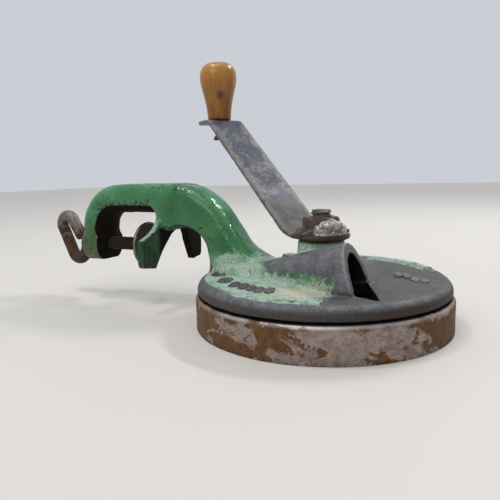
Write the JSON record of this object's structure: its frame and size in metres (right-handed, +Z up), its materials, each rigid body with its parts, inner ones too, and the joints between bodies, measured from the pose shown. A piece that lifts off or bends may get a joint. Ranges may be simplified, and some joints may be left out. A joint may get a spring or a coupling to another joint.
{
  "type": "table clamp vegetable slicer",
  "caption": "Hand-cranked rotary slicer with a cast cover plate, hooded feed mouth, cutter drum and table clamp on an arched arm.",
  "frame": {"origin": "spindle axis, on the plane of the drum's rim", "axes": "+Z up the spindle towards the crank; the clamp arm runs along -X; the feed hood lies on the -Y side with its mouth towards +X"},
  "size_m": [0.2927, 0.1587, 0.1728],
  "materials": {
    "green_enamel": "glossy enamel, chipped and worn to iron",
    "tinned_drum": "worn tin plate with brown bare patches",
    "dark_steel": "dull, dark",
    "rivet_steel": "dull",
    "blade_steel": "ground edge",
    "crank_steel": "mottled grey steel with rust specks",
    "rusty_steel": "rusty",
    "weld_metal": "rough lump with rust",
    "varnished_wood": "varnished, worn",
    "rusty_rod": "dark brown rust, worn grey on the handle"
  },
  "bodies": {
    "frame": {"body_casting": "green_enamel"},
    "rotor": {"drum_shell": "tinned_drum", "drum_hub_plate": "dark_steel", "drum_hub_rivets": "rivet_steel", "blade_1": "blade_steel", "blade_2": "blade_steel", "blade_3": "blade_steel", "blade_rivets": "rivet_steel", "spindle": "dark_steel", "drum_washer": "rivet_steel", "drum_nut": "dark_steel", "thrust_washer": "dark_steel", "crank_arm": "crank_steel", "crank_nut": "rusty_steel", "weld_bead": "weld_metal", "knob_pin": "dark_steel", "knob_washer": "rivet_steel"},
    "knob": {"wooden_knob": "varnished_wood"},
    "pad": {"clamp_pad": "dark_steel"},
    "screw": {"clamp_screw": "rusty_rod", "pad_rivet": "rivet_steel"}
  },
  "joints": [
    {"name": "crank_turn", "type": "hinge", "parent": "frame", "child": "rotor", "pos_m": [0, 0, 0.03], "axis": [0, 0, 1], "continuous": true},
    {"name": "knob_turn", "type": "hinge", "parent": "rotor", "child": "knob", "pos_m": [-0.1077, 0.0673, 0.15], "axis": [0, 0, 1], "continuous": true},
    {"name": "clamp_travel", "type": "slide", "parent": "frame", "child": "pad", "axis": [1, 0, 0], "range_m": [-0.0261, 0.0011]},
    {"name": "screw_turn", "type": "hinge", "parent": "pad", "child": "screw", "pos_m": [-0.15, 0, 0.0405], "axis": [1, 0, 0], "range_deg": [-4680, 180]}
  ],
  "couplings": [
    {"joint": "clamp_travel", "follows": "screw_turn", "m_per_rad": 0.00031831}
  ]
}
